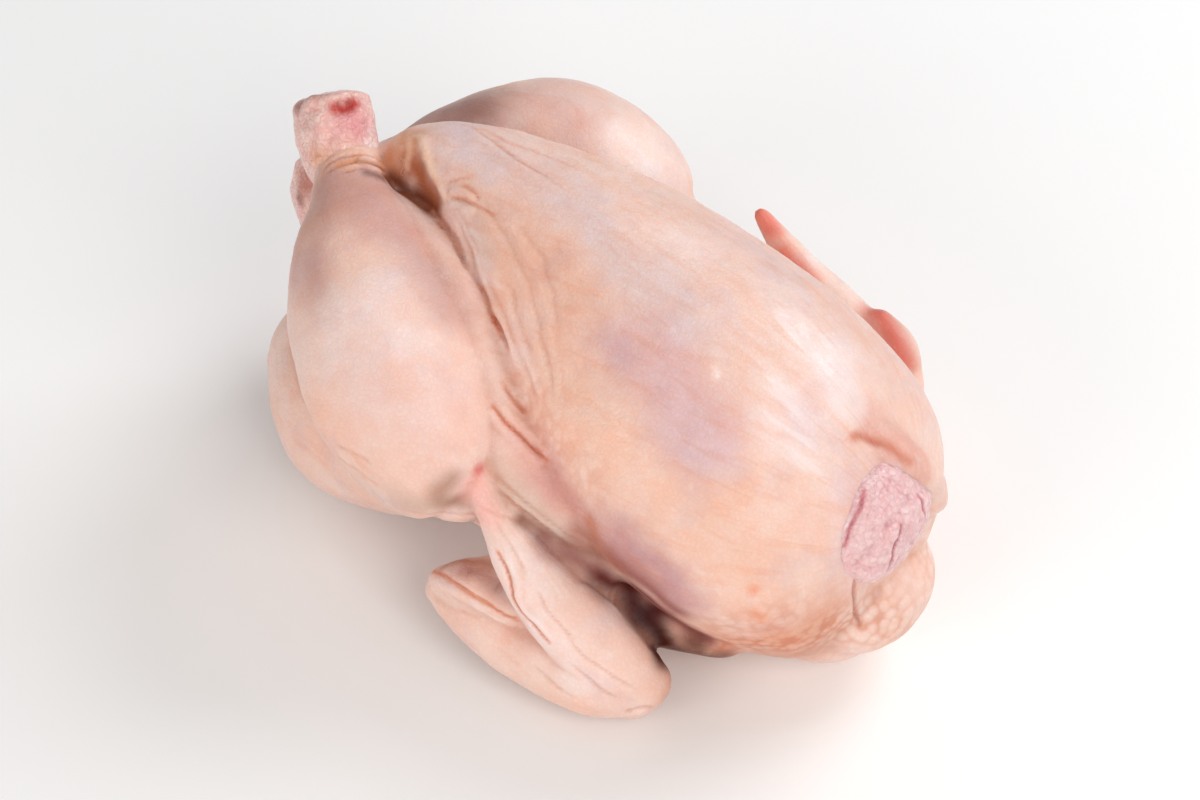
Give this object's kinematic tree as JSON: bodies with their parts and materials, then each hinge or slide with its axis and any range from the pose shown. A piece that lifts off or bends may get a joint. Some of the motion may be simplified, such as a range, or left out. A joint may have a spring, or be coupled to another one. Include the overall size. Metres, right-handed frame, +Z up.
{
  "type": "raw whole chicken",
  "caption": "Raw plucked chicken, whole and oven-ready, lying on its back with crossed legs tucked against the breast tip and wings folded at its sides",
  "frame": {"origin": "on the flat patch of the back that the bird rests on, below the middle of its body", "axes": "+X towards the neck, +Y the bird's side away from the picture's camera, +Z up out of the breast"},
  "size_m": [0.2281, 0.1615, 0.1187],
  "materials": {
    "skin": "raw moist poultry skin, pale pink-peach with orange fat tint, fine pores and wrinkles, soft wet gloss"
  },
  "bodies": {
    "root": {"whole_chicken": "skin"}
  },
  "joints": []
}
